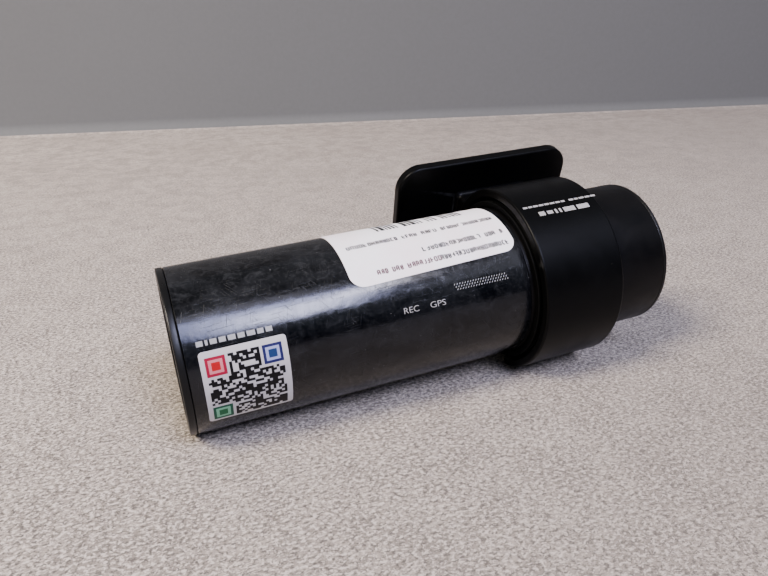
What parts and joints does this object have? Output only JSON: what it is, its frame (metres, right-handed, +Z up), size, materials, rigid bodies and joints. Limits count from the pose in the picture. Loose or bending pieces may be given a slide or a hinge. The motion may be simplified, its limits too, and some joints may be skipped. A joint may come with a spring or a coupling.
{
  "type": "dash camera",
  "caption": "Tube-shaped dash camera with a lens on its side, in a ring bracket with a flat adhesive pad for a windscreen; the tube swivels and slides out.",
  "frame": {"origin": "bottom centre of the bounding box, with the camera lying as in the picture on a flat surface", "axes": "+X along the tube from its connector end, +Y towards the mounting plate, +Z up; the tube's axis rises 2.86 degrees towards +X"},
  "size_m": [0.118, 0.0526, 0.05],
  "materials": {
    "bracket_plastic": "fine matt moulded black",
    "foam_tape": "black foam adhesive tape",
    "button_plastic": "satin black",
    "spring_steel": "bright wire",
    "sleeve_plastic": "matt black",
    "tube_plastic": "satin black",
    "cover_film": "glossy black film",
    "cap_plastic": "satin black",
    "bezel_plastic": "satin black",
    "barrel_metal": "black anodised",
    "lens_glass": "coated optical glass",
    "inner_plastic": "matt black",
    "sensor_package": "dark glazed package",
    "circuit_board": "green solder mask",
    "flex_film": "amber film",
    "connector_plastic": "ivory",
    "chip_resin": "black resin",
    "thermal_pad": "soft grey pad",
    "sink_aluminium": "extruded",
    "screw_steel": "plated",
    "cell_sleeve": "blue shrink sleeve",
    "ceramic": "ceramic",
    "speaker_body": "dark frame",
    "socket_steel": "pressed sheet",
    "card_plastic": "black",
    "pin_brass": "plated",
    "led_lens": "amber",
    "pipe_clear": "clear light pipe",
    "label_white": "printed white label"
  },
  "bodies": {
    "bracket": {"mount_bracket": "bracket_plastic", "adhesive_pad": "foam_tape", "release_spring": "spring_steel"},
    "release_button": {"release_button": "button_plastic"},
    "sleeve": {"swivel_sleeve": "sleeve_plastic"},
    "camera": {"main_tube": "tube_plastic", "cover_film": "cover_film", "connector_cap": "cap_plastic", "end_cap": "cap_plastic", "lens_bezel": "bezel_plastic", "lens_holder": "inner_plastic", "lens_barrel": "barrel_metal", "lens_retainer": "barrel_metal", "lens_spacer": "inner_plastic", "front_lens": "lens_glass", "rear_lens": "lens_glass", "image_sensor": "sensor_package", "sensor_board": "circuit_board", "sensor_flex": "flex_film", "flex_connector": "connector_plastic", "main_board": "circuit_board", "processor": "chip_resin", "thermal_pad": "thermal_pad", "heat_sink": "sink_aluminium", "heat_sink_screw_1": "screw_steel", "heat_sink_screw_2": "screw_steel", "memory_chip": "chip_resin", "backup_cell_1": "cell_sleeve", "backup_cell_2": "cell_sleeve", "gps_antenna": "ceramic", "wifi_antenna": "circuit_board", "speaker": "speaker_body", "microphone": "socket_steel", "card_socket": "socket_steel", "power_jack": "inner_plastic", "power_jack_pin": "pin_brass", "rear_camera_jack": "inner_plastic", "wifi_switch": "chip_resin", "end_board": "circuit_board", "board_rail_1": "inner_plastic", "board_rail_2": "inner_plastic", "rec_led": "led_lens", "gps_led": "led_lens", "rec_light_pipe": "pipe_clear", "gps_light_pipe": "pipe_clear", "code_label": "label_white", "service_sticker": "label_white"},
    "wifi_button": {"wifi_button": "button_plastic"},
    "memory_card": {"memory_card": "card_plastic"}
  },
  "joints": [
    {"name": "sleeve_turn", "type": "hinge", "parent": "bracket", "child": "sleeve", "pos_m": [0.03027, -0.00378, 0.02239], "axis": [0.9988, 0, 0.0499], "range_deg": [-20, 20]},
    {"name": "camera_slide", "type": "slide", "parent": "sleeve", "child": "camera", "axis": [-0.9988, 0, -0.0499], "range_m": [0, 0.036]},
    {"name": "release_press", "type": "slide", "parent": "bracket", "child": "release_button", "axis": [-0.9988, 0, -0.0499], "range_m": [0, 0.0012], "stiffness_N_per_m": 500, "springref_m": -0.002, "deforming": ["release_spring"]},
    {"name": "wifi_press", "type": "slide", "parent": "camera", "child": "wifi_button", "axis": [0.9988, 0, 0.0499], "range_m": [0, 0.0006], "stiffness_N_per_m": 800, "springref_m": -0.001},
    {"name": "card_slide", "type": "slide", "parent": "camera", "child": "memory_card", "axis": [-0.9988, 0, -0.0499], "range_m": [-0.0008, 0.016]}
  ]
}
